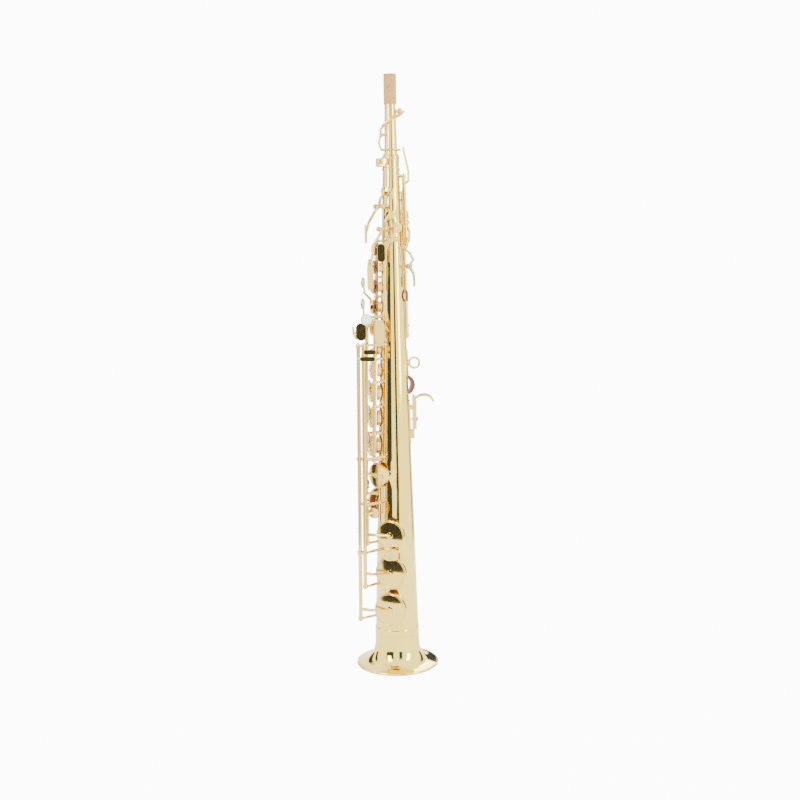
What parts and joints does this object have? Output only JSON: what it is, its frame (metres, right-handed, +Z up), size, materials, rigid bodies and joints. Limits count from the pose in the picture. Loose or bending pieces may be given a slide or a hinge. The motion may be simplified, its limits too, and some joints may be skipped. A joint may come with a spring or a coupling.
{
  "type": "soprano saxophone",
  "caption": "Straight conical brass wind instrument with a flared bell, padded keys on hinge rods, a detachable neck with an octave key, and a bare mouthpiece cork.",
  "frame": {"origin": "centre of the bell mouth, on the bore axis, in the plane the bell stands on", "axes": "+Z up the bore to the cork, +X to the player (thumb hook, strap ring), -Y to the player's left"},
  "size_m": [0.0922, 0.0922, 0.65],
  "materials": {
    "lacquered_brass": "polished and clear lacquered, pale gold",
    "pad_leather": "smooth brown kid leather",
    "mother_of_pearl": "polished, slightly iridescent",
    "cork": "sanded sheet cork",
    "brown_plastic": "moulded, glossy red-brown",
    "felt": "dense bumper felt",
    "steel": "ground rod",
    "blued_steel": "blued needle"
  },
  "bodies": {
    "instrument": {"body_tube": "lacquered_brass", "bell": "lacquered_brass", "bell_ferrule": "lacquered_brass", "key_posts": "lacquered_brass", "hinge_rods": "steel", "needle_springs": "blued_steel", "neck_receiver": "lacquered_brass", "strap_plate": "lacquered_brass", "strap_ring": "lacquered_brass", "thumb_hook_bracket": "lacquered_brass", "thumb_bow": "brown_plastic", "thumb_rest": "brown_plastic", "thumb_rest_base": "lacquered_brass", "bell_key_guard": "lacquered_brass", "guard_felts": "felt"},
    "low_b_flat_key": {"low_b_flat_key": "lacquered_brass", "low_b_flat_pad": "pad_leather"},
    "low_b_key": {"low_b_key": "lacquered_brass", "low_b_pad": "pad_leather"},
    "low_c_key": {"low_c_key": "lacquered_brass", "low_c_pad": "pad_leather"},
    "low_c_sharp_key": {"low_c_sharp_key": "lacquered_brass", "low_c_sharp_pad": "pad_leather"},
    "e_flat_key": {"e_flat_key": "lacquered_brass", "e_flat_pad": "pad_leather"},
    "d_key": {"d_key": "lacquered_brass", "d_pad": "pad_leather", "d_pearl": "mother_of_pearl"},
    "e_key": {"e_key": "lacquered_brass", "e_pad": "pad_leather", "e_pearl": "mother_of_pearl"},
    "f_key": {"f_key": "lacquered_brass", "f_pad": "pad_leather", "f_pearl": "mother_of_pearl"},
    "f_sharp_key": {"f_sharp_key": "lacquered_brass"},
    "g_sharp_key": {"g_sharp_key": "lacquered_brass"},
    "g_key": {"g_key": "lacquered_brass", "g_pearl": "mother_of_pearl"},
    "a_key": {"a_key": "lacquered_brass", "a_pearl": "mother_of_pearl"},
    "bis_key": {"bis_key": "lacquered_brass"},
    "b_key": {"b_key": "lacquered_brass", "b_pearl": "mother_of_pearl"},
    "c_key": {"c_key": "lacquered_brass"},
    "side_b_flat_key": {"side_b_flat_key": "lacquered_brass"},
    "side_c_key": {"side_c_key": "lacquered_brass"},
    "side_e_key": {"side_e_key": "lacquered_brass"},
    "palm_d_key": {"palm_d_key": "lacquered_brass"},
    "palm_e_flat_key": {"palm_e_flat_key": "lacquered_brass"},
    "palm_f_key": {"palm_f_key": "lacquered_brass"},
    "octave_vent_key": {"octave_vent_key": "lacquered_brass"},
    "octave_thumb_lever": {"octave_thumb_lever": "lacquered_brass"},
    "octave_link": {"octave_link": "lacquered_brass"},
    "neck_octave_key": {"neck_octave_key": "lacquered_brass"},
    "neck": {"neck_tube": "lacquered_brass", "neck_cork": "cork", "neck_fittings": "lacquered_brass"},
    "clamp_screw": {"neck_clamp_screw": "lacquered_brass"},
    "hook": {"thumb_hook": "lacquered_brass"},
    "hook_screw": {"thumb_hook_screw": "steel"}
  },
  "joints": [
    {"name": "low_b_flat_turn", "type": "hinge", "parent": "instrument", "child": "low_b_flat_key", "pos_m": [-0.03986, -0.02896, 0.072], "axis": [0.0078, 0.0057, 1], "range_deg": [0, 11], "stiffness_Nm_per_rad": 0.02, "springref_deg": -34.38},
    {"name": "low_b_turn", "type": "hinge", "parent": "instrument", "child": "low_b_key", "pos_m": [-0.03412, -0.03127, 0.113], "axis": [0.0083, 0.0076, 0.9999], "range_deg": [0, 11], "stiffness_Nm_per_rad": 0.02, "springref_deg": -34.38},
    {"name": "low_c_turn", "type": "hinge", "parent": "instrument", "child": "low_c_key", "pos_m": [-0.03143, -0.02369, 0.155], "axis": [0.0128, 0.0096, 0.9999], "range_deg": [0, 11], "stiffness_Nm_per_rad": 0.02, "springref_deg": -34.38},
    {"name": "low_c_sharp_turn", "type": "hinge", "parent": "instrument", "child": "low_c_sharp_key", "pos_m": [-0.03326, -0.01412, 0.184], "axis": [-0.0247, -0.0105, -0.9996], "range_deg": [0, 8], "stiffness_Nm_per_rad": 0.02, "springref_deg": -34.38},
    {"name": "e_flat_turn", "type": "hinge", "parent": "instrument", "child": "e_flat_key", "pos_m": [-0.0321, 0, 0.219], "axis": [-0.0261, 0, -0.9997], "range_deg": [0, 8], "stiffness_Nm_per_rad": 0.02, "springref_deg": -34.38},
    {"name": "d_turn", "type": "hinge", "parent": "instrument", "child": "d_key", "pos_m": [-0.02261, -0.01583, 0.25], "axis": [-0.0246, -0.0172, -0.9996], "range_deg": [0, 12], "stiffness_Nm_per_rad": 0.02, "springref_deg": -34.38},
    {"name": "e_turn", "type": "hinge", "parent": "instrument", "child": "e_key", "pos_m": [-0.02185, -0.0153, 0.281], "axis": [-0.0246, -0.0172, -0.9996], "range_deg": [0, 12], "stiffness_Nm_per_rad": 0.02, "springref_deg": -34.38},
    {"name": "f_turn", "type": "hinge", "parent": "instrument", "child": "f_key", "pos_m": [-0.02116, -0.01482, 0.309], "axis": [-0.0246, -0.0172, -0.9996], "range_deg": [0, 12], "stiffness_Nm_per_rad": 0.02, "springref_deg": -34.38},
    {"name": "f_sharp_turn", "type": "hinge", "parent": "instrument", "child": "f_sharp_key", "pos_m": [-0.02054, -0.01439, 0.334], "axis": [-0.0246, -0.0172, -0.9996], "range_deg": [0, 12.05]},
    {"name": "g_sharp_turn", "type": "hinge", "parent": "instrument", "child": "g_sharp_key", "pos_m": [-0.01998, -0.01399, 0.357], "axis": [0.0246, 0.0172, 0.9996], "range_deg": [0, 10], "stiffness_Nm_per_rad": 0.02, "springref_deg": -34.38},
    {"name": "g_turn", "type": "hinge", "parent": "instrument", "child": "g_key", "pos_m": [-0.01884, 0.01319, 0.38], "axis": [0.0246, -0.0172, 0.9996], "range_deg": [0, 13], "stiffness_Nm_per_rad": 0.02, "springref_deg": -34.38},
    {"name": "a_turn", "type": "hinge", "parent": "instrument", "child": "a_key", "pos_m": [-0.01828, 0.0128, 0.403], "axis": [0.0246, -0.0172, 0.9996], "range_deg": [0, 13], "stiffness_Nm_per_rad": 0.02, "springref_deg": -34.38},
    {"name": "bis_turn", "type": "hinge", "parent": "instrument", "child": "bis_key", "pos_m": [-0.01773, 0.01242, 0.425], "axis": [0.0246, -0.0172, 0.9996], "range_deg": [0, 13], "stiffness_Nm_per_rad": 0.02, "springref_deg": -34.38},
    {"name": "b_turn", "type": "hinge", "parent": "instrument", "child": "b_key", "pos_m": [-0.01722, 0.01206, 0.446], "axis": [0.0246, -0.0172, 0.9996], "range_deg": [0, 13], "stiffness_Nm_per_rad": 0.02, "springref_deg": -34.38},
    {"name": "c_turn", "type": "hinge", "parent": "instrument", "child": "c_key", "pos_m": [-0.01675, 0.01173, 0.465], "axis": [0.0246, -0.0172, 0.9996], "range_deg": [0, 13.05]},
    {"name": "side_b_flat_turn", "type": "hinge", "parent": "instrument", "child": "side_b_flat_key", "pos_m": [0.0042, 0.01975, 0.457], "axis": [0.0062, 0.0293, -0.9996], "range_deg": [0, 10], "stiffness_Nm_per_rad": 0.02, "springref_deg": -34.38},
    {"name": "side_c_turn", "type": "hinge", "parent": "instrument", "child": "side_c_key", "pos_m": [0.0088, 0.01727, 0.484], "axis": [0.0136, 0.0267, -0.9996], "range_deg": [0, 10], "stiffness_Nm_per_rad": 0.02, "springref_deg": -34.38},
    {"name": "side_e_turn", "type": "hinge", "parent": "instrument", "child": "side_e_key", "pos_m": [0.01229, 0.01364, 0.518], "axis": [0.0201, 0.0223, -0.9996], "range_deg": [0, 10], "stiffness_Nm_per_rad": 0.02, "springref_deg": -34.38},
    {"name": "palm_d_turn", "type": "hinge", "parent": "instrument", "child": "palm_d_key", "pos_m": [0, -0.01912, 0.476], "axis": [1, 0, 0], "range_deg": [0, 12], "stiffness_Nm_per_rad": 0.02, "springref_deg": -34.38},
    {"name": "palm_e_flat_turn", "type": "hinge", "parent": "instrument", "child": "palm_e_flat_key", "pos_m": [-0.0094, -0.01627, 0.487], "axis": [0.866, -0.5, 0], "range_deg": [0, 9], "stiffness_Nm_per_rad": 0.02, "springref_deg": -34.38},
    {"name": "palm_f_turn", "type": "hinge", "parent": "instrument", "child": "palm_f_key", "pos_m": [-0.01343, -0.01209, 0.511], "axis": [0.6691, -0.7431, 0], "range_deg": [0, 9], "stiffness_Nm_per_rad": 0.02, "springref_deg": -34.38},
    {"name": "octave_vent_turn", "type": "hinge", "parent": "instrument", "child": "octave_vent_key", "pos_m": [0.01511, 0.0055, 0.494], "axis": [-0.342, 0.9397, 0], "range_deg": [0, 10], "stiffness_Nm_per_rad": 0.02, "springref_deg": -34.38},
    {"name": "octave_thumb_lever_turn", "type": "hinge", "parent": "instrument", "child": "octave_thumb_lever", "pos_m": [0.01821, -0.00321, 0.447], "axis": [0.1736, 0.9848, 0], "range_deg": [0, 5.7], "stiffness_Nm_per_rad": 0.02, "springref_deg": -34.38},
    {"name": "octave_link_turn", "type": "hinge", "parent": "instrument", "child": "octave_link", "pos_m": [0.01449, -0.00388, 0.5], "axis": [-0.029, 0.0078, 0.9996], "range_deg": [0, 18.05]},
    {"name": "neck_octave_turn", "type": "hinge", "parent": "neck", "child": "neck_octave_key", "pos_m": [-0.01, 0, 0.587], "axis": [0, 1, 0], "range_deg": [0, 5.05]},
    {"name": "neck_swivel", "type": "hinge", "parent": "instrument", "child": "neck", "pos_m": [0, 0, 0.557], "axis": [0, 0, 1], "range_deg": [-45, 45]},
    {"name": "clamp_screw_turn", "type": "hinge", "parent": "instrument", "child": "clamp_screw", "pos_m": [-0.01196, -0.00558, 0.5585], "axis": [0.4226, -0.9063, 0], "range_deg": [0, 540]},
    {"name": "thumb_hook_slide", "type": "slide", "parent": "instrument", "child": "hook", "axis": [0, 0, 1], "range_m": [-0.004, 0.004]},
    {"name": "hook_screw_turn", "type": "hinge", "parent": "instrument", "child": "hook_screw", "pos_m": [0.01999, 0.0007, 0.279], "axis": [0.9994, 0.0349, 0], "range_deg": [0, 540]}
  ],
  "couplings": [
    {"joint": "f_sharp_turn", "follows": "f_turn", "ratio": 1},
    {"joint": "c_turn", "follows": "a_turn", "ratio": 1},
    {"joint": "octave_link_turn", "follows": "octave_thumb_lever_turn", "ratio": 3.1579},
    {"joint": "neck_octave_turn", "follows": "octave_thumb_lever_turn", "ratio": 0.87719}
  ]
}
